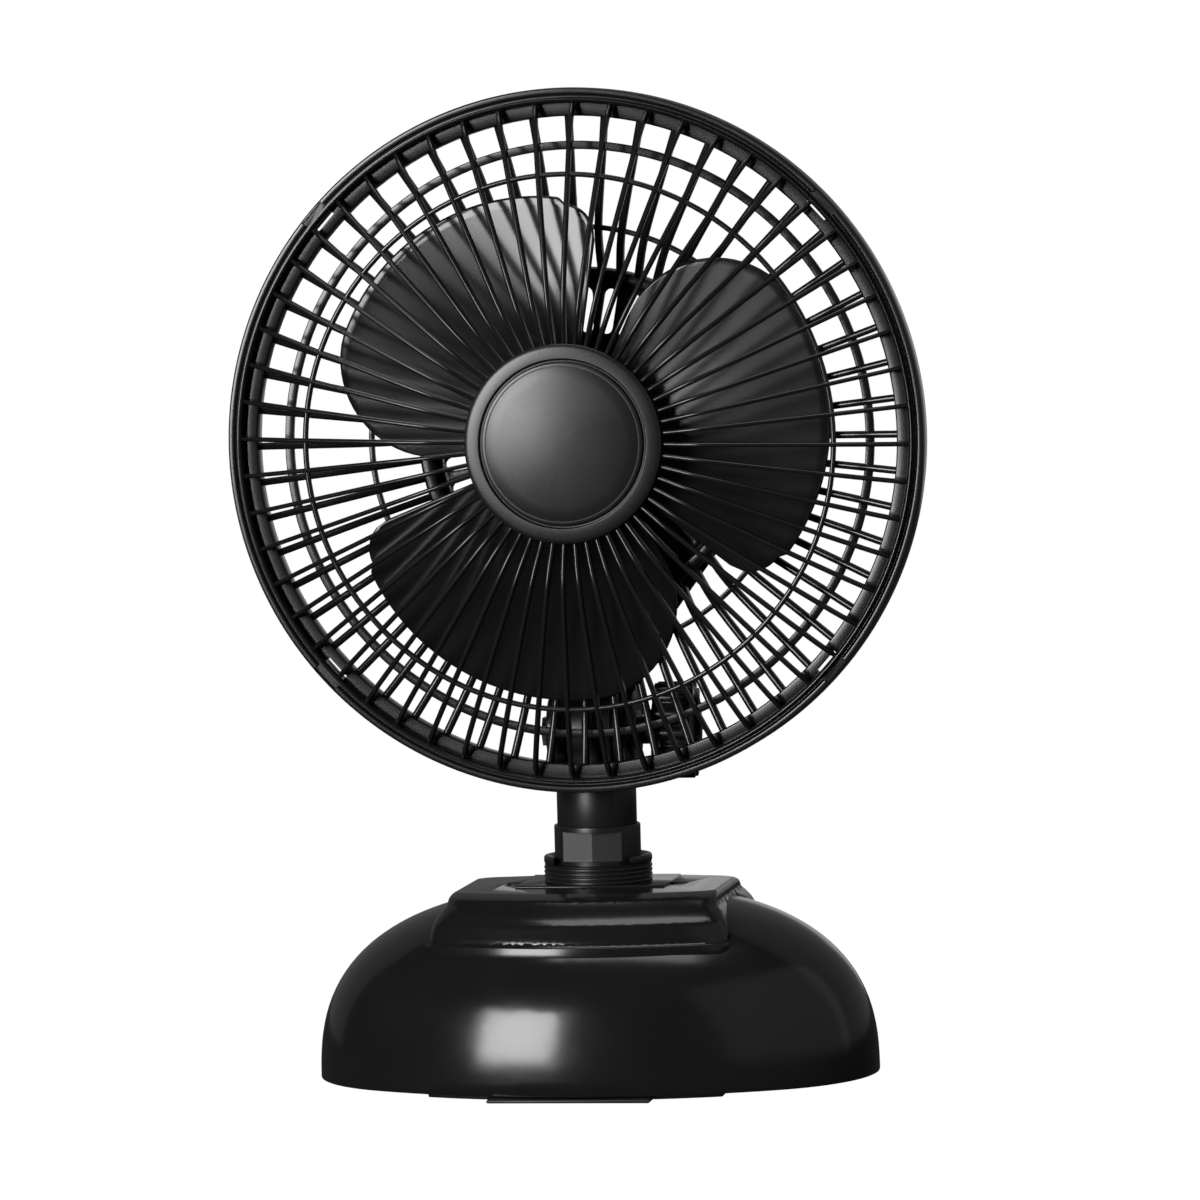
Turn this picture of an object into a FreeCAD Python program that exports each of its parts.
import FreeCAD, Part
import math
import os
from FreeCAD import Placement, Rotation, Vector

os.makedirs("parts", exist_ok=True)

# Frame: millimetres, +Z up, the fan faces -Y, origin on the table under the middle of the base.
# Places of the main axes
rim_bottom_height = 80.0
neck_axis_back = 6.0
rim_setback = 20.0
pivot_inset = 15.0

# Clearances and cuts
running_clearance = 0.05
seat_clearance = 0.3
moving_clearance = 0.6
cut_overrun = 1.0

# Rim that joins the two grilles
rim_radius = 95.0
rim_wall = 1.6
rim_skirt_depth = 6.0
rim_shoulder_height = 2.6
rim_edge_round = 1.0
ridge_inset = 4.1
ridge_width = 1.1
ridge_height = 4.2
groove_width = 1.2
groove_floor = 1.6
clip_length = 8.0
clip_angle = 48.0
clip_slot_length = 7.0
clip_slot_width = 0.9

# Front grille
rib_count = 56
front_rib_start_angle = -1.5
front_rib_width = 1.2
front_rib_depth = 2.6
front_rib_rim_height = 3.4
front_knee_inset = 8.5
front_knee_height = 7.0
front_ring_share = 0.570
front_ring_width = 1.4
front_ring_depth = 2.0
front_ring_height = 11.6
crest_radius = 41.0
crest_height = 18.4
hub_radius = 26.2
hub_wall = 1.8
hub_floor = 1.6
hub_depth = 4.4
hub_top_height = 16.9

# Cap in the middle of the front grille
cap_overhang = 0.5
cap_edge = 1.5
cap_dome = 2.0
cap_plateau_rise = 0.7
cap_groove_radius = 21.8
cap_groove_width = 0.9
cap_groove_depth = 0.7
cap_plug_wall = 1.4
cap_plug_depth = 1.6

# Rear grille
band_inset = 7.6
band_wall = 1.6
rear_flange = 2.0
rear_rib_width = 1.7
rear_rib_depth = 2.8
rear_rib_start_drop = 2.2
rear_outer_ring_share = 0.809
rear_outer_ring_width = 1.8
rear_outer_ring_drop = 3.8
rear_inner_ring_share = 0.271
rear_inner_ring_width = 1.2
rear_inner_ring_drop = 7.6
rear_ring_depth = 2.2
bowl_radius = 46.5
bowl_band_width = 3.6
bowl_band_depth = 6.0
bowl_face_drop = 24.0
bowl_floor = 2.2
vent_count = 36
vent_width = 3.6
vent_inner_radius = 28.5
vent_outer_radius = 41.0
shaft_hole_radius = 5.0

# Propeller
blade_count = 3
blade_tip_radius = 70.0
blade_thickness = 1.6
blade_sweep = 104.5
blade_start = 24.0
blade_front_height = 7.5
blade_back_drop = 3.6
blade_lead_round = 26.0
blade_trail_round = 18.0
blade_hub_radius = 14.0
blade_hub_front = 9.5
blade_hub_back = 12.0
blade_hub_wall = 1.8
blade_boss_radius = 4.6

# Motor
shaft_radius = 2.0
shaft_front_height = 7.0
core_width = 34.0
core_top = 14.0
core_bottom = 31.0
core_depth = 11.0
core_leg = 7.0
core_window_width = 22.0
core_window_height = 6.0
rotor_radius = 10.0
rotor_gap = 0.4
rotor_core_depth = 12.0
end_ring_depth = 1.4
end_ring_wall = 2.4
bobbin_wall = 0.9
coil_wall = 3.6
coil_flange = 1.2
strap_width = 10.0
strap_length = 33.0
strap_thickness = 1.6
strap_standoff = 4.2
strap_foot_radius = 2.8
bearing_radius = 4.6
bearing_length = 5.0
motor_screw_radius = 1.45
motor_screw_head_radius = 2.7
motor_screw_head = 1.7
motor_screw_spread = 13.5

# Motor housing, arm and fork, in one moulding
housing_radius = 24.5
housing_wall = 1.8
housing_straight = 26.0
housing_corner = 12.0
motor_boss = 1.0
motor_boss_radius = 3.4
cover_gap = 1.0
cover_wall = 1.8
cover_plug_depth = 3.0
cover_vent_count = 7
cover_vent_width = 1.8
cover_vent_pitch = 4.0
cover_vent_height = 14.0
cover_vent_low = -8.0
cover_screw_radius = 1.3
cover_screw_head_radius = 2.5
cover_screw_head = 1.6
cover_screw_depth = 6.0
cover_edge_round = 1.2
cover_screw_inset = 4.6
cover_post_radius = 2.9
cover_screw_side = 2.5
cover_screw_rise = 5.0
apron_tangent_drop = 35.0
apron_reach = 62.0
arm_width = 23.4
fork_radius = 11.0
fork_gap = 13.2
fork_slot_depth = 12.5

# Tilt joint
tongue_width = 12.0
tongue_radius = 10.6
tongue_flank = 1.5
bolt_radius = 2.5
bolt_head_width = 7.6
bolt_head = 2.4
friction_washer_thickness = 0.5
friction_washer_radius = 8.5
bolt_washer_radius = 5.5
bolt_washer_thickness = 0.6
knob_boss_radius = 3.8
knob_boss_length = 5.0
knob_radius = 13.3
knob_thickness = 10.6
knob_lobe_count = 14
knob_lobe_radius = 1.5
knob_face_recess = 1.4
knob_nut_width = 8.0
knob_nut_depth = 4.0
knob_nut_cover = 2.0

# Neck
post_radius = 10.9
post_top_drop = 12.2
socket_radius = 11.8
socket_top = 69.5
post_socket_depth = 3.5
socket_facet_width = 15.3
socket_facet_height = 8.0
collar_radius = 14.8
collar_top = 60.6
collar_bead = 2.2
collar_groove_count = 4
collar_groove_pitch = 1.35
collar_groove = 0.5
land_share = 0.6
neck_stem_radius = 8.4
neck_bore_radius = 4.0
swivel_boss_radius = 13.0
swivel_boss_depth = 1.6
swivel_washer_radius = 11.0
swivel_washer_thickness = 1.5
swivel_screw_radius = 2.0
swivel_screw_head_radius = 4.0
swivel_screw_head = 2.6
swivel_screw_reach = 12.0

# Base shell and saddle
base_half_width = 76.8
base_half_depth = 50.0
base_end_radius = 41.0
base_crown = 53.0
base_lift = 1.9
base_wall = 2.4
base_fullness_share = 0.78
saddle_top = 53.5
saddle_half_width = 39.5
saddle_half_depth = 39.8
saddle_bow_radius = 90.0
saddle_corner = 5.5
saddle_rise = 14.5
saddle_side_draw = 7.0
saddle_front_draw = 15.2
saddle_lip = 0.9
saddle_lip_height = 1.8
saddle_notch_width = 4.8
saddle_notch_depth = 2.0
saddle_notch_length = 7.0
saddle_notch_front = 9.0
saddle_screw_radius = 1.6
saddle_screw_head_radius = 3.0
saddle_screw_head = 2.0
saddle_screw_reach = 5.5
saddle_screw_spread = 19.0
saddle_screw_front = 6.0
saddle_pad_half_width = 20.5
saddle_pad_rise = 0.5

# Lower jaw, its hinge and spring
jaw_half_width = 40.0
jaw_floor = 2.4
jaw_lift = 0.6
jaw_rim_height = 9.0
jaw_rim_wall = 2.2
lip_width = 44.0
lip_reach = 0.8
lip_gap = 0.5
tail_width = 44.0
tail_cut_start = 4.0
tail_cut_height = 15.0
jaw_heel = 1.0
hinge_inset = 20.0
hinge_height = 15.0
pin_radius = 1.8
pin_head_radius = 3.2
pin_head = 1.2
jaw_ear_offset = 27.0
jaw_ear_width = 3.2
jaw_ear_radius = 5.4
base_ear_width = 3.2
base_ear_radius = 5.4
grip_height = 12.6
grip_inset = 10.0
grip_gap = 0.6
grip_pad_thickness = 2.4
grip_pad_half_width = 30.0
grip_pad_depth = 16.0
grip_wall = 3.0
spring_wire = 1.4
spring_coil_radius = 4.0
spring_first_turn = 37.0
spring_whole_turn = 1548.0
spring_steps = 18
spring_pitch = 2.0
spring_lower_leg = 13.0
spring_upper_leg = 13.2
foot_radius = 4.5
foot_height = 3.4
foot_spread = 50.0
foot_depth_spread = 17.0
foot_post_radius = 5.6

# Speed switch and cord entry
speed_knob_radius = 6.4
speed_knob_height = 6.0
speed_grip_width = 2.6
speed_stem_radius = 2.0
speed_body_width = 8.6
speed_body_height = 11.0
speed_body_depth = 7.0
speed_drop = 20.0
speed_side = 15.6
grommet_side = -14.5
grommet_radius = 3.6
grommet_bore = 2.0
grommet_flange_radius = 4.8
grommet_flange = 1.2

# Places worked out from the sizes above
head_height = rim_radius + rim_bottom_height
pivot_drop = rim_radius - pivot_inset
band_radius = rim_radius - band_inset
front_ring_radius = crest_radius + (rim_radius - crest_radius) * front_ring_share
rear_outer_ring_radius = bowl_radius + (band_radius - bowl_radius) * rear_outer_ring_share
rear_inner_ring_radius = bowl_radius + (band_radius - bowl_radius) * rear_inner_ring_share
hinge_back = base_half_depth - hinge_inset
grip_front = grip_inset - base_half_depth
rim_plane = neck_axis_back - rim_setback
pivot_height = head_height - pivot_drop
head_place = Placement(Vector(0, rim_plane, head_height), Rotation(Vector(1, 0, 0), 90))
neck_back_local = -rim_setback
front_axis = Vector(0, 0, 1)
origin = Vector(0, 0, 0)
side_axis = Vector(1, 0, 0)


def rod(radius, low, high, x=0, y=0):
    return Part.makeCylinder(radius, high - low, Vector(x, y, low))


def cross_rod(radius, left, right, y, z):
    return Part.makeCylinder(radius, right - left, Vector(left, y, z), side_axis)


def block(x_low, x_high, y_low, y_high, z_low, z_high):
    return Part.makeBox(x_high - x_low, y_high - y_low, z_high - z_low, Vector(x_low, y_low, z_low))


def turned(profile):
    """A solid turned about the Z axis from points of radius and height."""
    points = [Vector(radius, 0, height) for radius, height in profile]
    wire = Part.makePolygon(points + [points[0]])
    return Part.Face(wire).revolve(origin, front_axis, 360)


def around(shape, count, start=0):
    copies = []
    for step in range(count):
        copy = shape.copy()
        copy.rotate(origin, front_axis, start + 360 * step / count)
        copies.append(copy)
    return copies


def radial_plate(profile, width):
    """A rib that stands on the Y axis, cut from points of radius and height."""
    points = [Vector(-width / 2, radius, height) for radius, height in profile]
    face = Part.Face(Part.makePolygon(points + [points[0]]))
    return face.extrude(Vector(width, 0, 0))


def save(name, shape, place=None):
    solid = shape.copy()
    if place is not None:
        solid.Placement = place.multiply(solid.Placement)
    if solid.ShapeType == "Compound" and len(solid.Solids) == 1:
        solid = solid.Solids[0]
    solid.exportStep("parts/" + name + ".step")
    size = solid.BoundBox
    print(name, len(solid.Solids), "valid" if solid.isValid() else "INVALID", round(solid.Volume),
          [round(v, 1) for v in (size.XMin, size.XMax, size.YMin, size.YMax, size.ZMin, size.ZMax)])


def thick_line(points, depth):
    """Points of a rib's outer line, followed back along the same line set lower by its depth."""
    return points + [(radius, height - depth) for radius, height in reversed(points)]


def at_clips(shape):
    """The four places round the rim where the grilles clip together."""
    upper = around(shape, 2, clip_angle)
    lower = around(shape, 2, -clip_angle)
    return Part.makeCompound(upper + lower)


def front_grille():
    inner = rim_radius - ridge_inset
    ridge_end = inner + ridge_width
    groove_end = ridge_end + groove_width
    ring = turned([
        (inner, 0),
        (inner, ridge_height),
        (ridge_end, ridge_height),
        (ridge_end, groove_floor),
        (groove_end, groove_floor),
        (groove_end, rim_shoulder_height),
        (rim_radius - rim_edge_round, rim_shoulder_height),
        (rim_radius, rim_shoulder_height - rim_edge_round),
        (rim_radius, -rim_skirt_depth),
        (rim_radius - rim_wall, -rim_skirt_depth),
        (rim_radius - rim_wall, 0)])
    clip_cut = block(-clip_length / 2, clip_length / 2, ridge_end, rim_radius - rim_edge_round,
                     groove_floor, rim_shoulder_height + cut_overrun)
    ring = ring.cut(at_clips(clip_cut))
    line = [(inner + ridge_width / 2, front_rib_rim_height),
            (rim_radius - front_knee_inset, front_knee_height),
            (front_ring_radius, front_ring_height),
            (crest_radius, crest_height),
            (hub_radius - hub_wall / 2, hub_top_height)]
    rib = radial_plate(thick_line(line, front_rib_depth), front_rib_width)
    half_ring = front_ring_width / 2
    middle = turned([
        (front_ring_radius - half_ring, front_ring_height),
        (front_ring_radius + half_ring, front_ring_height),
        (front_ring_radius + half_ring, front_ring_height - front_ring_depth),
        (front_ring_radius - half_ring, front_ring_height - front_ring_depth)])
    bottom = hub_top_height - hub_depth
    hub_inner = hub_radius - hub_wall
    hub = turned([
        (0, bottom),
        (hub_radius, bottom),
        (hub_radius, hub_top_height),
        (hub_inner, hub_top_height),
        (hub_inner, bottom + hub_floor),
        (0, bottom + hub_floor)])
    return ring.fuse([middle, hub] + around(rib, rib_count, front_rib_start_angle))


def grille_cap():
    edge = hub_radius + cap_overhang
    low = hub_top_height + seat_clearance
    top = low + cap_edge
    groove_out = cap_groove_radius + cap_groove_width
    rise = cap_plateau_rise
    crown_height = top + cap_dome
    dome_radius = (cap_groove_radius ** 2 + (cap_dome - rise) ** 2) / (2 * (cap_dome - rise))
    plug = hub_radius - hub_wall - seat_clearance
    profile = [
        (0, low),
        (plug - cap_plug_wall, low),
        (plug - cap_plug_wall, low - cap_plug_depth),
        (plug, low - cap_plug_depth),
        (plug, low),
        (edge, low),
        (edge, top - cap_groove_depth),
        (edge - cap_groove_depth, top),
        (groove_out, top + rise / 2),
        (groove_out, top - cap_groove_depth),
        (cap_groove_radius, top - cap_groove_depth),
        (cap_groove_radius, top + rise)]
    points = [Vector(radius, 0, height) for radius, height in profile]
    crown = Vector(0, 0, crown_height)
    half = cap_groove_radius / 2
    bow = Vector(half, 0, crown_height - dome_radius + math.sqrt(dome_radius ** 2 - half ** 2))
    edges = [Part.makeLine(a, b) for a, b in zip(points, points[1:])]
    edges.append(Part.Arc(points[-1], bow, crown).toShape())
    edges.append(Part.makeLine(crown, points[0]))
    return Part.Face(Part.Wire(edges)).revolve(origin, front_axis, 360)


def rear_grille():
    band = band_radius
    outer = rim_radius - rim_wall - seat_clearance
    channel = turned([
        (band, 0),
        (outer, 0),
        (outer, -rim_skirt_depth),
        (outer - band_wall, -rim_skirt_depth),
        (outer - band_wall, -rear_flange),
        (band + band_wall, -rear_flange),
        (band + band_wall, -rim_skirt_depth),
        (band, -rim_skirt_depth)])
    slot_place = band + band_wall + clip_slot_width
    slot = block(-clip_slot_length / 2, clip_slot_length / 2, slot_place, slot_place + clip_slot_width,
                 -rear_flange - cut_overrun, cut_overrun)
    channel = channel.cut(at_clips(slot))
    bowl_top = bowl_band_depth - bowl_face_drop
    line = [(band + band_wall / 2, -rear_rib_start_drop),
            (rear_outer_ring_radius, -rear_outer_ring_drop),
            (rear_inner_ring_radius, -rear_inner_ring_drop),
            (bowl_radius - bowl_band_width / 2, bowl_top - cut_overrun)]
    rib = radial_plate(thick_line(line, rear_rib_depth), rear_rib_width)
    rings = []
    for radius, width, drop in ((rear_outer_ring_radius, rear_outer_ring_width, rear_outer_ring_drop),
                                (rear_inner_ring_radius, rear_inner_ring_width, rear_inner_ring_drop)):
        low = -drop - rear_rib_depth
        rings.append(turned([
            (radius - width / 2, low),
            (radius + width / 2, low),
            (radius + width / 2, low + rear_ring_depth),
            (radius - width / 2, low + rear_ring_depth)]))
    back = -bowl_face_drop - bowl_floor
    inner = bowl_radius - bowl_band_width
    bowl = turned([
        (shaft_hole_radius, back),
        (bowl_radius, back),
        (bowl_radius, bowl_top),
        (inner, bowl_top),
        (inner, -bowl_face_drop),
        (shaft_hole_radius, -bowl_face_drop)])
    half = vent_width / 2
    vent = block(-half, half, vent_inner_radius + half, vent_outer_radius - half, back - cut_overrun,
                 cut_overrun - bowl_face_drop)
    ends = [rod(half, back - cut_overrun, cut_overrun - bowl_face_drop, 0, place)
            for place in (vent_inner_radius + half, vent_outer_radius - half)]
    bowl = bowl.cut(Part.makeCompound(around(vent.fuse(ends), vent_count)))
    screws = [rod(motor_screw_radius + seat_clearance, back - cut_overrun, cut_overrun - bowl_face_drop,
                  x, y)
              for x, y in grille_screw_places()]
    bowl = bowl.cut(screws)
    return channel.fuse([bowl] + rings + around(rib, rib_count))


def grille_screw_places():
    radius = (shaft_hole_radius + vent_inner_radius) / 2
    return [(radius * math.sin(math.radians(turn)), radius * math.cos(math.radians(turn)))
            for turn in (0, 120, 240)]


save("front_grille", front_grille(), head_place)
save("grille_cap", grille_cap(), head_place)
save("rear_grille", rear_grille(), head_place)


def azimuth_point(radius, turn, height):
    """A point on the head's face, with the turn in degrees clockwise from the top."""
    angle = math.radians(turn)
    return Vector(radius * math.sin(angle), radius * math.cos(angle), height)


def blade():
    """One blade: a twisted slab lofted between radial sections and trimmed to its rounded outline."""
    inner = blade_hub_radius - blade_hub_wall
    outer = blade_tip_radius + cut_overrun
    sections = []
    section_count = 7
    root_half = (blade_hub_front + blade_hub_back) / 2 - blade_thickness
    root_middle = (blade_hub_front - blade_hub_back) / 2
    tip_half = (blade_front_height + blade_back_drop) / 2 - blade_thickness / 2
    tip_middle = (blade_front_height - blade_back_drop) / 2
    for step in range(section_count):
        share = step / (section_count - 1)
        turn = blade_sweep * share
        rise = 2 * share - 1
        root = root_middle + root_half * rise
        tip = tip_middle + tip_half * rise
        half = blade_thickness / 2
        corners = [azimuth_point(inner, turn, root - half), azimuth_point(outer, turn, tip - half),
                   azimuth_point(outer, turn, tip + half), azimuth_point(inner, turn, root + half)]
        sections.append(Part.makePolygon(corners + [corners[0]]))
    slab = Part.makeLoft(sections, True, False)
    low = -blade_hub_back - cut_overrun
    high = blade_hub_front + cut_overrun
    outline = Part.makeCylinder(blade_tip_radius, high - low, Vector(0, 0, low), front_axis, blade_sweep)
    outline.rotate(origin, front_axis, 90 - blade_sweep)
    for edge in outline.Edges:
        box = edge.BoundBox
        radius = math.hypot(box.Center.x, box.Center.y)
        upright = math.hypot(box.XLength, box.YLength) < cut_overrun
        if upright and radius > blade_tip_radius - cut_overrun:
            on_lead = abs(box.Center.x) < cut_overrun
            edge_round = blade_lead_round if on_lead else blade_trail_round
            outline_edge = [found for found in outline.Edges
                            if found.BoundBox.Center.distanceToPoint(box.Center) < cut_overrun]
            outline = outline.makeFillet(edge_round, outline_edge)
    return slab.common(outline)


def fan_blade():
    low = -blade_hub_back
    inner = blade_hub_radius - blade_hub_wall
    floor = blade_hub_front - blade_hub_wall
    cup = turned([
        (shaft_radius, low + blade_hub_wall),
        (shaft_radius, blade_hub_front),
        (blade_hub_radius - rim_edge_round, blade_hub_front),
        (blade_hub_radius, blade_hub_front - rim_edge_round),
        (blade_hub_radius, low),
        (inner, low),
        (inner, floor),
        (blade_boss_radius, floor),
        (blade_boss_radius, low + blade_hub_wall)])
    return cup.fuse(around(blade(), blade_count, -blade_start))


def housing_outline(radius, side_drop, corner):
    """The housing's outline from behind: a half round top, straight sides and rounded lower corners."""
    floor = -side_drop - corner
    slant = corner * (1 - math.sqrt(2) / 2)
    edges = [
        Part.Arc(Vector(-radius, 0, 0), Vector(0, radius, 0), Vector(radius, 0, 0)).toShape(),
        Part.makeLine(Vector(radius, 0, 0), Vector(radius, -side_drop, 0)),
        Part.Arc(Vector(radius, -side_drop, 0), Vector(radius - slant, floor + slant, 0),
                 Vector(radius - corner, floor, 0)).toShape(),
        Part.makeLine(Vector(radius - corner, floor, 0), Vector(corner - radius, floor, 0)),
        Part.Arc(Vector(corner - radius, floor, 0), Vector(slant - radius, floor + slant, 0),
                 Vector(-radius, -side_drop, 0)).toShape(),
        Part.makeLine(Vector(-radius, -side_drop, 0), Vector(-radius, 0, 0))]
    return Part.Face(Part.Wire(edges))


def housing_prism(inset, low, high):
    face = housing_outline(housing_radius - inset, housing_straight, housing_corner - inset)
    face.translate(Vector(0, 0, low))
    return face.extrude(Vector(0, 0, high - low))


def motor_screw_places():
    return [(-motor_screw_spread, 0), (motor_screw_spread, 0)]


def cover_screw_places():
    place = housing_radius - cover_screw_inset
    high = place * math.sqrt(2) / 2
    low = cover_screw_rise - housing_straight - housing_corner
    side = housing_radius - housing_corner + cover_screw_side
    return [(-high, high), (high, high), (-side, low), (side, low)]


# Levels along the head's axis, from the bowl back to the rear cover
disc_back = -bowl_face_drop - bowl_floor
plate_back = disc_back - housing_wall
strap_front = plate_back - motor_boss
strap_back = strap_front - strap_thickness
core_front = strap_back - strap_standoff
core_back = core_front - core_depth
rear_strap_front = core_back - strap_standoff
rear_strap_back = rear_strap_front - strap_thickness
screw_head_back = rear_strap_back - motor_screw_head
cover_inside = screw_head_back - cover_gap
cover_back = cover_inside - cover_wall


def motor_housing():
    shell = housing_prism(0, cover_inside + cover_plug_depth, disc_back)
    shell = shell.cut(housing_prism(housing_wall, cover_inside, plate_back))
    half_arm = arm_width / 2
    angle = math.radians(apron_tangent_drop)
    tangent = Vector(bowl_radius * math.cos(angle), -bowl_radius * math.sin(angle), 0)
    apron_points = [tangent, Vector(half_arm, -apron_reach, 0), Vector(-half_arm, -apron_reach, 0),
                    Vector(-tangent.x, tangent.y, 0)]
    apron = Part.Face(Part.makePolygon(apron_points + [tangent])).extrude(Vector(0, 0, -housing_wall))
    apron.translate(Vector(0, 0, disc_back))
    back = neck_back_local - fork_radius
    front = neck_back_local + fork_radius
    side = [(-housing_straight, disc_back), (-apron_reach, disc_back),
            (-apron_reach - housing_wall, disc_back + housing_wall),
            (-pivot_drop, front), (-pivot_drop, back), (-apron_reach, back - housing_wall),
            (-housing_straight - housing_corner + housing_wall, cover_inside + cover_plug_depth),
            (-housing_straight, cover_inside + cover_plug_depth)]
    points = [Vector(-half_arm, y, z) for y, z in side]
    arm = Part.Face(Part.makePolygon(points + [points[0]])).extrude(Vector(arm_width, 0, 0))
    arm = arm.fuse(cross_rod(fork_radius, -half_arm, half_arm, -pivot_drop, neck_back_local))
    arm = arm.cut(housing_prism(housing_wall, cover_inside, plate_back))
    body = shell.fuse([apron, arm])
    half_gap = fork_gap / 2
    body = body.cut(block(-half_gap, half_gap,
                          -pivot_drop - fork_radius - cut_overrun, -pivot_drop + fork_slot_depth,
                          back - cut_overrun, front + cut_overrun))
    body = body.cut(cross_rod(bolt_radius + running_clearance, -half_arm - cut_overrun, half_arm
                              + cut_overrun,
                              -pivot_drop, neck_back_local))
    posts = [rod(motor_boss_radius, strap_front, plate_back, x, y) for x, y in motor_screw_places()]
    posts += [rod(cover_post_radius, cover_inside + cover_plug_depth, plate_back, x, y) for x,
              y in cover_screw_places()]
    body = body.fuse(posts)
    holes = [rod(shaft_hole_radius, plate_back - cut_overrun, disc_back + cut_overrun)]
    holes += [rod(motor_screw_radius, plate_back - motor_boss - cut_overrun, disc_back, x, y)
              for x, y in motor_screw_places()]
    holes += [rod(motor_screw_radius, plate_back - cut_overrun, disc_back + cut_overrun, x, y)
              for x, y in grille_screw_places()]
    holes += [rod(cover_screw_radius, cover_inside, cover_inside + cover_plug_depth + cover_screw_depth,
                  x, y)
              for x, y in cover_screw_places()]
    return body.cut(holes)


def rear_cover():
    plate = housing_prism(0, cover_back, cover_inside + cover_plug_depth)
    hollow = housing_prism(housing_wall, cover_inside, cover_inside + cover_plug_depth)
    rear_edges = [edge
                  for edge in plate.Edges if abs(edge.BoundBox.ZMax - cover_back) < running_clearance]
    plate = plate.makeFillet(cover_edge_round, rear_edges).cut(hollow)
    seats = [rod(cover_post_radius, cover_inside, cover_inside + cover_plug_depth, x, y) for x,
             y in cover_screw_places()]
    plate = plate.fuse(seats)
    cuts = [rod(cover_screw_radius + running_clearance, cover_back - cut_overrun, cover_inside
                + cover_plug_depth, x, y)
            for x, y in cover_screw_places()]
    half = cover_vent_width / 2
    for step in range(cover_vent_count):
        x = (step - (cover_vent_count - 1) / 2) * cover_vent_pitch
        cuts.append(block(x - half, x + half, cover_vent_low, cover_vent_low + cover_vent_height,
                          cover_back - cut_overrun, cover_inside + cut_overrun))
    cuts.append(rod(speed_stem_radius + running_clearance, cover_back - cut_overrun, cover_inside
                    + cut_overrun,
                    speed_side, -speed_drop))
    cuts.append(rod(grommet_radius, cover_back - cut_overrun, cover_inside + cut_overrun, grommet_side,
                    -speed_drop))
    return plate.cut(cuts)


def stator_core():
    half = core_width / 2
    body = block(-half, half, -core_bottom, core_top, core_back, core_front)
    window_top = core_leg - core_bottom + core_window_height
    cuts = [rod(rotor_radius + rotor_gap, core_back - cut_overrun, core_front + cut_overrun),
            block(-core_window_width / 2, core_window_width / 2, core_leg - core_bottom, window_top,
                  core_back - cut_overrun, core_front + cut_overrun)]
    cuts += [rod(motor_screw_radius, core_back - cut_overrun, core_front + cut_overrun, x, y)
             for x, y in motor_screw_places()]
    cuts += [rod(cover_post_radius + seat_clearance, core_back - cut_overrun, core_front + cut_overrun,
                 x, y)
             for x, y in cover_screw_places()]
    return body.cut(cuts)


def leg_sleeve(inner_gap, wall, x_low, x_high):
    """A square sleeve round the core's lower leg."""
    def layer(grow):
        return block(x_low, x_high, -core_bottom - grow, core_leg - core_bottom + grow,
                     core_back - grow, core_front + grow)
    return layer(inner_gap + wall).cut(layer(inner_gap))


def coil_bobbin():
    half = core_window_width / 2 - seat_clearance
    tube = leg_sleeve(running_clearance, bobbin_wall, -half, half)
    left = leg_sleeve(running_clearance, bobbin_wall + coil_wall, -half, coil_flange - half)
    right = leg_sleeve(running_clearance, bobbin_wall + coil_wall, half - coil_flange, half)
    return tube.fuse([left, right])


def coil_winding():
    half = core_window_width / 2 - seat_clearance - coil_flange
    return leg_sleeve(running_clearance + bobbin_wall, coil_wall, -half, half)


def motor_rotor():
    middle = (core_front + core_back) / 2
    half = rotor_core_depth / 2
    end = half + end_ring_depth
    ring = rotor_radius - end_ring_wall
    return turned([
        (shaft_radius, middle - half), (ring, middle - half), (ring, middle - end), (rotor_radius,
                                                                                     middle - end),
        (rotor_radius, middle + end), (ring, middle + end), (ring, middle + half), (shaft_radius, middle
                                                                                    + half)])


def strap(seat, outer, core_face):
    low, high = min(seat, outer), max(seat, outer)
    half = strap_length / 2
    plate = block(-half, half, -strap_width / 2, strap_width / 2, low, high)
    feet = [rod(strap_foot_radius, min(core_face, seat), max(core_face, seat), x, y) for x,
            y in motor_screw_places()]
    plate = plate.fuse(feet)
    cuts = [rod(bearing_radius, low - cut_overrun, high + cut_overrun)]
    cuts += [rod(motor_screw_radius, core_back - strap_standoff - strap_thickness - cut_overrun,
                 plate_back, x, y)
             for x, y in motor_screw_places()]
    return plate.cut(cuts)


def bearing(middle):
    half = bearing_length / 2
    bore = shaft_radius + running_clearance
    return turned([(bore, middle - half), (bearing_radius, middle - half),
                   (bearing_radius, middle + half),
                   (bore, middle + half)])


def motor_shaft():
    tail = rear_strap_back - motor_screw_head / 2
    return rod(shaft_radius, tail, shaft_front_height)


def headed_screw(radius, head_radius, head_low, head_high, tip, x, y):
    seat = head_high if tip > head_high else head_low
    return rod(head_radius, head_low, head_high, x, y).fuse(rod(radius, min(seat, tip), max(seat, tip),
                                                                x, y))


def motor_screws():
    tip = plate_back
    return Part.makeCompound([
        headed_screw(motor_screw_radius, motor_screw_head_radius, screw_head_back, rear_strap_back, tip,
                     x, y)
        for x, y in motor_screw_places()])


def grille_screws():
    head_low = -bowl_face_drop
    return Part.makeCompound([
        headed_screw(motor_screw_radius, motor_screw_head_radius, head_low, head_low + motor_screw_head,
                     plate_back, x, y)
        for x, y in grille_screw_places()])


def cover_screws():
    tip = cover_inside + cover_plug_depth + cover_screw_depth
    return Part.makeCompound([
        headed_screw(cover_screw_radius, cover_screw_head_radius, cover_back - cover_screw_head,
                     cover_back, tip, x, y)
        for x, y in cover_screw_places()])


def speed_switch():
    half = speed_body_width / 2
    front = cover_inside + speed_body_depth
    body = block(speed_side - half, speed_side + half, -speed_drop - speed_body_height / 2,
                 speed_body_height / 2 - speed_drop, cover_inside, front)
    return body.cut(rod(speed_stem_radius + running_clearance, cover_inside - cut_overrun, front
                        + cut_overrun,
                        speed_side, -speed_drop))


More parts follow.
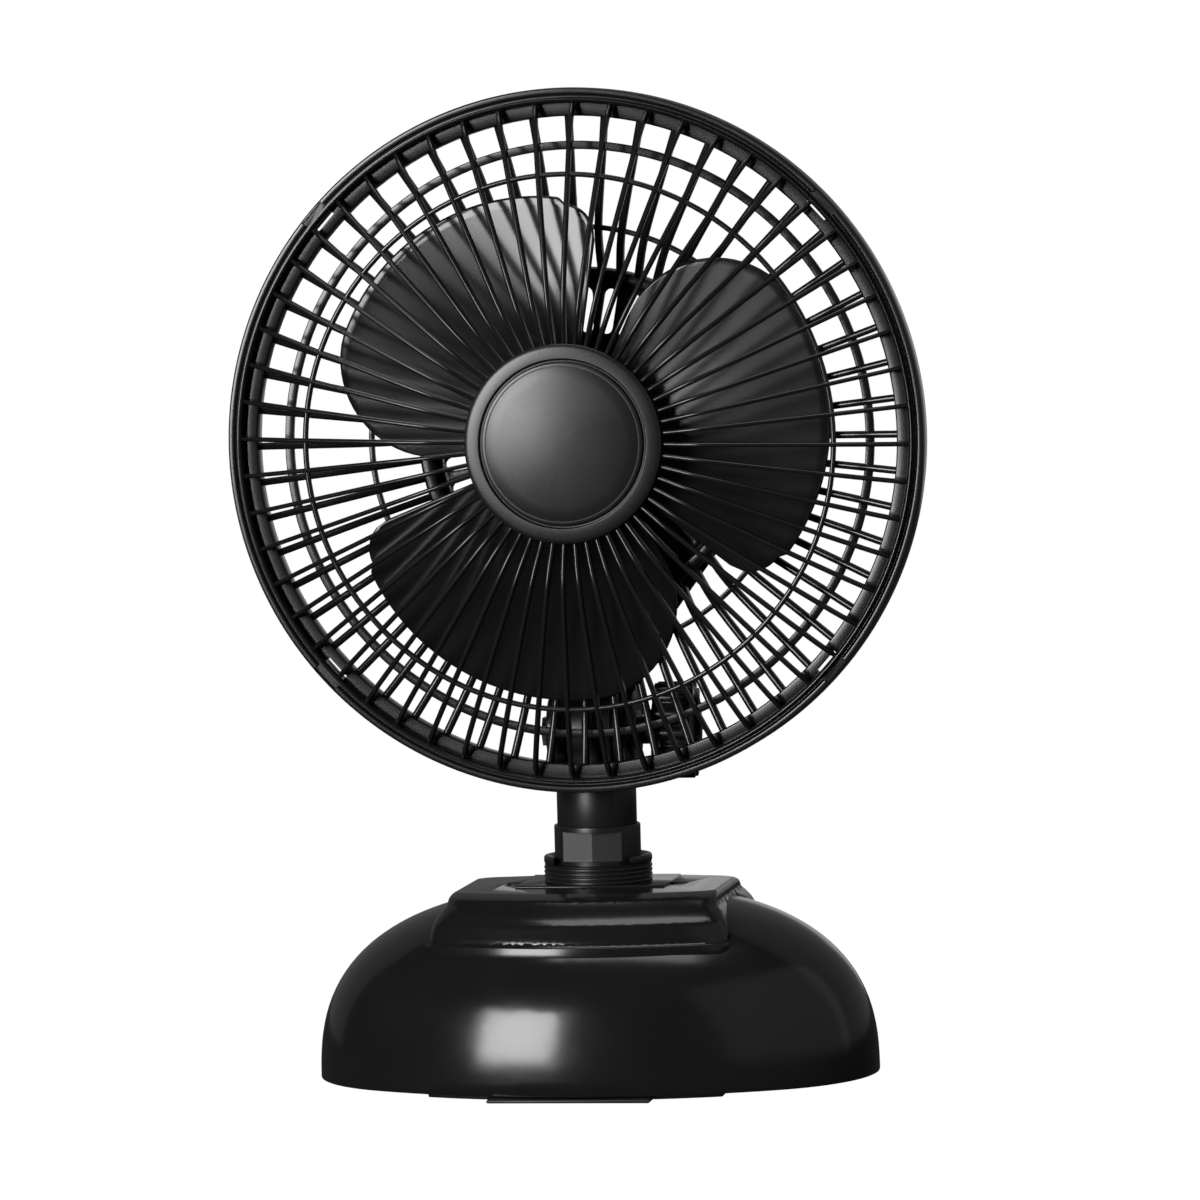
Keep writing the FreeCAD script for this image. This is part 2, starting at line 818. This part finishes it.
def speed_knob():
    low = cover_back - seat_clearance - speed_knob_height
    high = cover_back - seat_clearance
    skirt = speed_knob_height / 3
    disc = rod(speed_knob_radius, high - skirt, high, speed_side, -speed_drop)
    grip = rod(speed_knob_radius, low, high - skirt, speed_side, -speed_drop)
    half = speed_grip_width / 2
    bar = block(speed_side - half, speed_side + half, -speed_drop - speed_knob_radius,
                speed_knob_radius - speed_drop, low, high - skirt)
    stem = rod(speed_stem_radius, high, cover_inside + speed_body_depth - seat_clearance, speed_side,
               -speed_drop)
    return disc.fuse([grip.common(bar), stem])


def cord_grommet():
    inner = turned([
        (grommet_bore, cover_back - grommet_flange), (grommet_flange_radius, cover_back - grommet_flange),
        (grommet_flange_radius, cover_back), (grommet_radius, cover_back), (grommet_radius, cover_inside),
        (grommet_flange_radius, cover_inside), (grommet_flange_radius, cover_inside + grommet_flange),
        (grommet_bore, cover_inside + grommet_flange)])
    inner.translate(Vector(grommet_side, -speed_drop, 0))
    return inner


front_bearing_middle = (strap_front + strap_back) / 2
rear_bearing_middle = (rear_strap_front + rear_strap_back) / 2
save("fan_blade", fan_blade(), head_place)
save("motor_housing", motor_housing(), head_place)
save("rear_cover", rear_cover(), head_place)
save("stator_core", stator_core(), head_place)
save("coil_bobbin", coil_bobbin(), head_place)
save("coil_winding", coil_winding(), head_place)
save("motor_rotor", motor_rotor(), head_place)
save("motor_shaft", motor_shaft(), head_place)
save("front_strap", strap(strap_back, strap_front, core_front), head_place)
save("rear_strap", strap(rear_strap_front, rear_strap_back, core_back), head_place)
save("front_bearing", bearing(front_bearing_middle), head_place)
save("rear_bearing", bearing(rear_bearing_middle), head_place)
save("motor_screws", motor_screws(), head_place)
save("grille_screws", grille_screws(), head_place)
save("cover_screws", cover_screws(), head_place)
save("speed_switch", speed_switch(), head_place)
save("speed_knob", speed_knob(), head_place)
save("cord_grommet", cord_grommet(), head_place)


def hexagon_rod(width, left, right, y, z):
    """A hexagonal bar along X, with its flats the given width apart."""
    reach = width / math.sqrt(3)
    points = [Vector(left, y + reach * math.cos(math.radians(60 * step)), z
                     + reach * math.sin(math.radians(60 * step)))
              for step in range(6)]
    return Part.Face(Part.makePolygon(points + [points[0]])).extrude(Vector(right - left, 0, 0))


pivot = (neck_axis_back, pivot_height)
fork_side = arm_width / 2
knob_start = fork_side + bolt_washer_thickness + running_clearance
knob_disc_start = knob_start + knob_boss_length
knob_nut_start = knob_disc_start + knob_nut_cover
knob_end = knob_disc_start + knob_thickness


def tilt_bolt():
    head = hexagon_rod(bolt_head_width, -fork_side - bolt_head, -fork_side, *pivot)
    return head.fuse(cross_rod(bolt_radius, -fork_side, knob_nut_start + knob_nut_depth, *pivot))


def flat_ring(outer, bore, left, right):
    hole = cross_rod(bore, left - cut_overrun, right + cut_overrun, *pivot)
    return cross_rod(outer, left, right, *pivot).cut(hole)


def friction_washers():
    inner = fork_gap / 2 - friction_washer_thickness
    bore = bolt_radius + running_clearance
    return Part.makeCompound([flat_ring(friction_washer_radius, bore, inner, fork_gap / 2),
                              flat_ring(friction_washer_radius, bore, -fork_gap / 2, -inner)])


def bolt_washer():
    return flat_ring(bolt_washer_radius, bolt_radius + running_clearance, fork_side,
                     fork_side + bolt_washer_thickness)


def tilt_knob():
    disc = cross_rod(knob_radius - knob_lobe_radius, knob_disc_start, knob_end, *pivot)
    lobes = []
    for step in range(knob_lobe_count):
        angle = math.radians(360 * step / knob_lobe_count)
        reach = knob_radius - knob_lobe_radius
        lobes.append(cross_rod(knob_lobe_radius, knob_disc_start, knob_end,
                               pivot[0] + reach * math.cos(angle), pivot[1] + reach * math.sin(angle)))
    boss = cross_rod(knob_boss_radius, knob_start, knob_disc_start, *pivot)
    knob = disc.fuse([boss] + lobes)
    recess = cross_rod(knob_radius - 3 * knob_lobe_radius, knob_end - knob_face_recess,
                       knob_end + cut_overrun, *pivot)
    pocket = hexagon_rod(knob_nut_width, knob_nut_start, knob_nut_start + knob_nut_depth, *pivot)
    bore = cross_rod(bolt_radius + running_clearance, knob_start - cut_overrun,
                     knob_nut_start + knob_nut_depth + moving_clearance, *pivot)
    return knob.cut([recess, pocket, bore])


def knob_nut():
    nut = hexagon_rod(knob_nut_width, knob_nut_start, knob_nut_start + knob_nut_depth, *pivot)
    return nut.cut(cross_rod(bolt_radius + running_clearance, knob_nut_start - cut_overrun, knob_end,
                             *pivot))


def neck_post():
    shoulder = pivot_height - post_top_drop
    post = rod(post_radius, post_seat, shoulder, 0, neck_axis_back)
    half = tongue_width / 2
    tongue = cross_rod(tongue_radius, -half, half, *pivot)
    reach = tongue_radius - tongue_flank
    tongue = tongue.fuse(block(-half, half, neck_axis_back - reach, neck_axis_back + reach,
                               shoulder, pivot_height))
    bore = cross_rod(bolt_radius + running_clearance, -half - cut_overrun, half + cut_overrun, *pivot)
    tongue = tongue.cut(bore)
    return post.fuse(tongue)


def neck_socket():
    low = saddle_top + saddle_pad_rise + seat_clearance
    body = turned([
        (neck_bore_radius, stem_end),
        (neck_stem_radius, stem_end),
        (neck_stem_radius, low),
        (socket_radius, low),
        (socket_radius, socket_top),
        (post_radius + running_clearance, socket_top),
        (post_radius + running_clearance, post_seat),
        (neck_bore_radius, post_seat)])
    body = body.fuse(rod(neck_bore_radius, stem_end, post_seat))
    body = body.cut(rod(swivel_screw_radius, stem_end - cut_overrun, stem_end + swivel_screw_reach))
    facet = math.sqrt(socket_radius ** 2 - (socket_facet_width / 2) ** 2)
    facet_low = collar_top + seat_clearance
    body = body.cut(block(-socket_radius, socket_radius, -socket_radius - cut_overrun, -facet,
                          facet_low, facet_low + socket_facet_height))
    body.translate(Vector(0, neck_axis_back, 0))
    return body


def swivel_collar():
    bore = socket_radius + seat_clearance
    low = saddle_top + saddle_pad_rise
    waist = collar_radius - collar_groove
    profile = [(bore, low), (collar_radius, low)]
    for step in range(collar_groove_count):
        base = low + step * collar_groove_pitch
        profile += [(collar_radius, base + collar_groove_pitch * land_share),
                    (waist, base + collar_groove_pitch * land_share),
                    (waist, base + collar_groove_pitch), (collar_radius, base + collar_groove_pitch)]
    profile = profile[:-1] + [
        (waist, collar_top - collar_bead),
        (collar_radius, collar_top - collar_bead + collar_groove),
        (collar_radius, collar_top - collar_groove),
        (waist, collar_top),
        (bore, collar_top)]
    collar = turned(profile)
    collar.translate(Vector(0, neck_axis_back, 0))
    return collar


def oval(half_width, half_depth, end_radius, height):
    """A closed outline of four tangent arcs, centred on the Z axis."""
    reach = half_width - end_radius
    large = (half_depth ** 2 + reach ** 2 - end_radius ** 2) / (2 * (half_depth - end_radius))
    spread = large - half_depth
    angle = math.atan2(reach, spread)
    x = large * math.sin(angle)
    y = large * math.cos(angle) - spread
    corner = [Vector(-x, -y, height), Vector(x, -y, height), Vector(x, y, height), Vector(-x, y, height)]
    middle = [Vector(0, -half_depth, height), Vector(half_width, 0, height),
              Vector(0, half_depth, height),
              Vector(-half_width, 0, height)]
    edges = [Part.Arc(corner[k], middle[k], corner[(k + 1) % 4]).toShape() for k in range(4)]
    return Part.Wire(edges)


def dome(inset):
    """The base's domed body, drawn in by an inset from its outer skin."""
    sections = []
    for turn in dome_turns:
        flat = math.cos(math.radians(turn)) ** base_fullness_share
        rise = math.sin(math.radians(turn)) ** base_fullness_share
        height = base_lift + (base_crown - inset - base_lift) * rise
        sections.append(oval((base_half_width - inset) * flat, (base_half_depth - inset) * flat,
                             (base_end_radius - inset) * flat, height))
    return Part.makeLoft(sections, True, inset > 0)


dome_turns = (0, 12, 26, 40, 54, 66, 75)
saddle_turns = (0, 35, 65, 90)
dome_outer = dome(0)
dome_inner = dome(base_wall)
top_share = math.sin(math.radians(dome_turns[-1])) ** base_fullness_share
dome_top_inside = base_lift + (base_crown - base_wall - base_lift) * top_share
stem_end = dome_top_inside - swivel_boss_depth - seat_clearance
post_seat = socket_top - post_socket_depth
ear_inner = jaw_ear_offset - moving_clearance - base_ear_width
pin_reach = jaw_ear_offset + jaw_ear_width
grip_plate = grip_height + grip_pad_thickness


def foot_places():
    return [(x, y) for x in (-foot_spread, foot_spread) for y in (-foot_depth_spread, foot_depth_spread)]


def saddle_screw_places():
    return [(-saddle_screw_spread, neck_axis_back - saddle_screw_front),
            (saddle_screw_spread, neck_axis_back - saddle_screw_front)]


def base_shell():
    shell = dome_outer.cut(dome_inner)
    inside = []
    for side in (-1, 1):
        low = min(side * ear_inner, side * (ear_inner + base_ear_width))
        high = max(side * ear_inner, side * (ear_inner + base_ear_width))
        inside.append(block(low, high, hinge_back - base_ear_radius, hinge_back + base_ear_radius,
                            hinge_height, base_crown))
        inside.append(cross_rod(base_ear_radius, low, high, hinge_back, hinge_height))
    front = grip_front
    back = grip_front + grip_pad_depth
    half = grip_pad_half_width
    inside.append(block(-half, half, front, back, grip_plate, grip_plate + grip_wall))
    for middle in (-half + grip_wall / 2, 0, half - grip_wall / 2):
        inside.append(block(middle - grip_wall / 2, middle + grip_wall / 2, front, back, grip_plate,
                            base_crown))
    inside += [rod(foot_post_radius, base_lift, base_crown, x, y) for x, y in foot_places()]
    inside.append(rod(swivel_boss_radius, dome_top_inside - swivel_boss_depth, base_crown, 0,
                      neck_axis_back))
    added = inside[0].fuse(inside[1:]).common(dome_outer)
    shell = shell.fuse(added)
    cuts = [rod(neck_stem_radius + running_clearance, stem_end, base_crown, 0, neck_axis_back)]
    cuts += [rod(foot_radius, base_lift - cut_overrun, foot_height, x, y) for x, y in foot_places()]
    cuts += [rod(saddle_screw_radius, stem_end - base_wall, base_crown, x, y)
             for x, y in saddle_screw_places()]
    cuts.append(cross_rod(pin_radius, -pin_reach, pin_reach, hinge_back, hinge_height))
    tail_half = tail_width / 2 + moving_clearance
    cuts.append(block(-tail_half, tail_half, hinge_back + tail_cut_start,
                      base_half_depth + lip_reach + cut_overrun, 0, tail_cut_height))
    return shell.cut(cuts)


def swivel_saddle():
    sections = []
    for turn in saddle_turns:
        drawn = 1 - math.cos(math.radians(turn))
        height = saddle_top - saddle_rise + saddle_rise * math.sin(math.radians(turn))
        sections.append(saddle_outline(saddle_half_width - saddle_side_draw * drawn,
                                       saddle_half_depth - saddle_front_draw * drawn, height))
    body = Part.makeLoft(sections, True, False)
    low = saddle_top - saddle_rise
    lip = Part.Face(saddle_outline(saddle_half_width + saddle_lip, saddle_half_depth + saddle_lip, low))
    body = body.fuse(lip.extrude(Vector(0, 0, saddle_lip_height)))
    half = saddle_pad_half_width
    body = body.fuse(block(-half, half, neck_axis_back - collar_radius, neck_axis_back + collar_radius,
                           saddle_top - saddle_pad_rise, saddle_top + saddle_pad_rise))
    body = body.cut(dome_outer)
    for side in (-1, 1):
        inner = side * half
        outer = side * (half + saddle_notch_width)
        y = neck_axis_back - saddle_notch_front
        wedge = [Vector(inner, y, saddle_top + cut_overrun),
                 Vector(inner, y, saddle_top - saddle_notch_depth),
                 Vector(outer, y, saddle_top), Vector(outer, y, saddle_top + cut_overrun)]
        face = Part.Face(Part.makePolygon(wedge + [wedge[0]]))
        body = body.cut(face.extrude(Vector(0, saddle_notch_length, 0)))
    cuts = [rod(neck_stem_radius + running_clearance, dome_top_inside,
                saddle_top + saddle_pad_rise + cut_overrun, 0, neck_axis_back)]
    cuts += [rod(saddle_screw_radius, dome_top_inside, stem_end + saddle_screw_reach, x, y)
             for x, y in saddle_screw_places()]
    return body.cut(cuts)


def saddle_outline(half_width, half_depth, height):
    """Straight ends, round corners and a bowed front and back, all tangent."""
    corner = saddle_corner
    spread = saddle_bow_radius - half_depth
    across = half_width - corner
    along = math.sqrt((saddle_bow_radius - corner) ** 2 - across ** 2) - spread
    lean = math.atan2(across, along + spread)
    turn = (lean + math.pi / 2) / 2
    bow_x = across + corner * math.sin(lean)
    bow_y = along + corner * math.cos(lean)
    bend_x = across + corner * math.sin(turn)
    bend_y = along + corner * math.cos(turn)
    edges = []
    for way in (-1, 1):
        def place(x, y):
            return Vector(way * x, way * y, height)
        edges.append(Part.Arc(place(-bow_x, -bow_y), place(0, -half_depth), place(bow_x, -bow_y)).toShape())
        edges.append(Part.Arc(place(bow_x, -bow_y), place(bend_x, -bend_y),
                              place(half_width, -along)).toShape())
        edges.append(Part.makeLine(place(half_width, -along), place(half_width, along)))
        edges.append(Part.Arc(place(half_width, along), place(bend_x, bend_y), place(bow_x, bow_y)).toShape())
    return Part.Wire(edges)


def saddle_screws():
    seat = dome_top_inside
    return Part.makeCompound([
        headed_screw(saddle_screw_radius, saddle_screw_head_radius, seat - saddle_screw_head, seat,
                     stem_end + saddle_screw_reach, x, y)
        for x, y in saddle_screw_places()])


def swivel_washer():
    low = stem_end - swivel_washer_thickness
    return rod(swivel_washer_radius, low, stem_end, 0, neck_axis_back).cut(
        rod(swivel_screw_radius, low - cut_overrun, stem_end + cut_overrun, 0, neck_axis_back))


def swivel_screw():
    seat = stem_end - swivel_washer_thickness
    return headed_screw(swivel_screw_radius, swivel_screw_head_radius, seat - swivel_screw_head, seat,
                        stem_end + swivel_screw_reach, 0, neck_axis_back)


def jaw_outline(low, high):
    inset = base_wall + moving_clearance
    face = Part.Face(oval(base_half_width - inset, base_half_depth - inset - moving_clearance,
                          base_end_radius - inset - moving_clearance, low))
    prism = face.extrude(Vector(0, 0, high - low))
    return prism.common(block(-jaw_half_width, jaw_half_width, -base_half_depth, hinge_back + jaw_heel,
                              low, high))


def lower_jaw():
    top = jaw_lift + jaw_floor
    floor = jaw_outline(jaw_lift, top)
    wall = jaw_outline(jaw_lift, jaw_lift + jaw_rim_height)
    wall = wall.cut(block(-jaw_half_width + jaw_rim_wall, jaw_half_width - jaw_rim_wall, -base_half_depth,
                          base_half_depth, 0, base_crown))
    half = grip_pad_half_width
    back = grip_front + grip_pad_depth
    platform = block(-half, half, grip_front, back, jaw_lift, grip_height - grip_gap - grip_pad_thickness)
    hollow = block(jaw_rim_wall - half, half - jaw_rim_wall, grip_front + jaw_rim_wall,
                   back - jaw_rim_wall,
                   jaw_lift - cut_overrun, grip_height - grip_gap - grip_pad_thickness - jaw_rim_wall)
    lip = block(-lip_width / 2, lip_width / 2, -base_half_depth - lip_reach, grip_front + jaw_rim_wall,
                lip_gap,
                base_lift - lip_gap)
    tail = block(-tail_width / 2, tail_width / 2, hinge_back, base_half_depth + lip_reach, jaw_lift, top)
    solids = [wall, platform, lip, tail]
    for side in (-1, 1):
        low = min(side * jaw_ear_offset, side * (jaw_ear_offset + jaw_ear_width))
        high = max(side * jaw_ear_offset, side * (jaw_ear_offset + jaw_ear_width))
        solids.append(block(low, high, hinge_back - jaw_ear_radius, hinge_back + jaw_heel, jaw_lift,
                            hinge_height))
        solids.append(cross_rod(jaw_ear_radius, low, high, hinge_back, hinge_height))
    body = floor.fuse(solids).cut(hollow)
    return body.cut(cross_rod(pin_radius + running_clearance, -pin_reach - cut_overrun, pin_reach
                              + cut_overrun,
                              hinge_back, hinge_height))


def grip_pad(low):
    half = grip_pad_half_width
    return block(-half, half, grip_front, grip_front + grip_pad_depth, low, low + grip_pad_thickness)


def hinge_pin():
    shank = cross_rod(pin_radius, -pin_reach, pin_reach, hinge_back, hinge_height)
    heads = [cross_rod(pin_head_radius, pin_reach + running_clearance, pin_reach + pin_head, hinge_back,
                       hinge_height),
             cross_rod(pin_radius, pin_reach, pin_reach + pin_head, hinge_back, hinge_height),
             cross_rod(pin_head_radius, -pin_reach - pin_head, -pin_reach - running_clearance,
                       hinge_back, hinge_height),
             cross_rod(pin_radius, -pin_reach - pin_head, -pin_reach, hinge_back, hinge_height)]
    return shank.fuse(heads)


def biarc(start, start_way, end, end_way):
    """Two arcs that join two points and keep the given directions at both."""
    chord = end - start
    ways = start_way + end_way
    bend = 2 * (1 - start_way.dot(end_way))
    lean = 2 * chord.dot(ways)
    reach = (-lean + math.sqrt(lean ** 2 + 4 * bend * chord.dot(chord))) / (2 * bend)
    joint = (start + end + (start_way - end_way) * reach) * 0.5
    arcs = []
    for first, corner, last in ((start, start + start_way * reach, joint),
                                (joint, end - end_way * reach, end)):
        middle = (first + last) * 0.5
        rise = (corner - middle).Length
        half = (first - middle).Length
        sagitta = half * math.tan(math.atan2(rise, half) / 2)
        arcs.append(Part.Arc(first, middle + (corner - middle) * (sagitta / rise), last).toShape())
    return arcs


def coil_point(turn):
    """Place and direction on the spring's coil, after a number of nearly quarter turns from the lower leg."""
    angle = math.radians(spring_first_turn + spring_whole_turn * turn / spring_steps)
    advance = spring_pitch / (2 * math.pi)
    place = Vector(advance * math.radians(spring_whole_turn) * (turn / spring_steps - 1 / 2),
                   hinge_back - spring_coil_radius * math.sin(angle),
                   hinge_height - spring_coil_radius * math.cos(angle))
    way = Vector(advance, -spring_coil_radius * math.cos(angle), spring_coil_radius * math.sin(angle))
    return place, way.normalize()


def jaw_spring():
    path = []
    start, start_way = coil_point(0)
    lower_tip = start - start_way * spring_lower_leg
    path.append(Part.makeLine(lower_tip, start))
    for quarter in range(spring_steps):
        here, here_way = coil_point(quarter)
        there, there_way = coil_point(quarter + 1)
        path += biarc(here, here_way, there, there_way)
    end, end_way = coil_point(spring_steps)
    path.append(Part.makeLine(end, end + end_way * spring_upper_leg))
    wire = Part.Wire(path)
    circle = Part.Wire([Part.makeCircle(spring_wire / 2, lower_tip, start_way)])
    tube = wire.makePipeShell([circle], True, False)
    gap = spring_pitch * math.cos(math.atan2(spring_pitch,
                                             2 * math.pi * spring_coil_radius)) - spring_wire
    print("jaw_spring least gap to itself", round(gap, 2), "mm")
    return tube


def rubber_feet():
    return Part.makeCompound([rod(foot_radius, 0, foot_height, x, y) for x, y in foot_places()])


save("tilt_bolt", tilt_bolt())
save("friction_washers", friction_washers())
save("bolt_washer", bolt_washer())
save("tilt_knob", tilt_knob())
save("knob_nut", knob_nut())
save("neck_post", neck_post())
save("neck_socket", neck_socket())
save("swivel_collar", swivel_collar())
save("base_shell", base_shell())
save("swivel_saddle", swivel_saddle())
save("saddle_screws", saddle_screws())
save("swivel_washer", swivel_washer())
save("swivel_screw", swivel_screw())
save("lower_jaw", lower_jaw())
save("jaw_pad", grip_pad(grip_height - grip_gap - grip_pad_thickness))
save("base_pad", grip_pad(grip_height))
save("hinge_pin", hinge_pin())
save("jaw_spring", jaw_spring())
save("rubber_feet", rubber_feet())
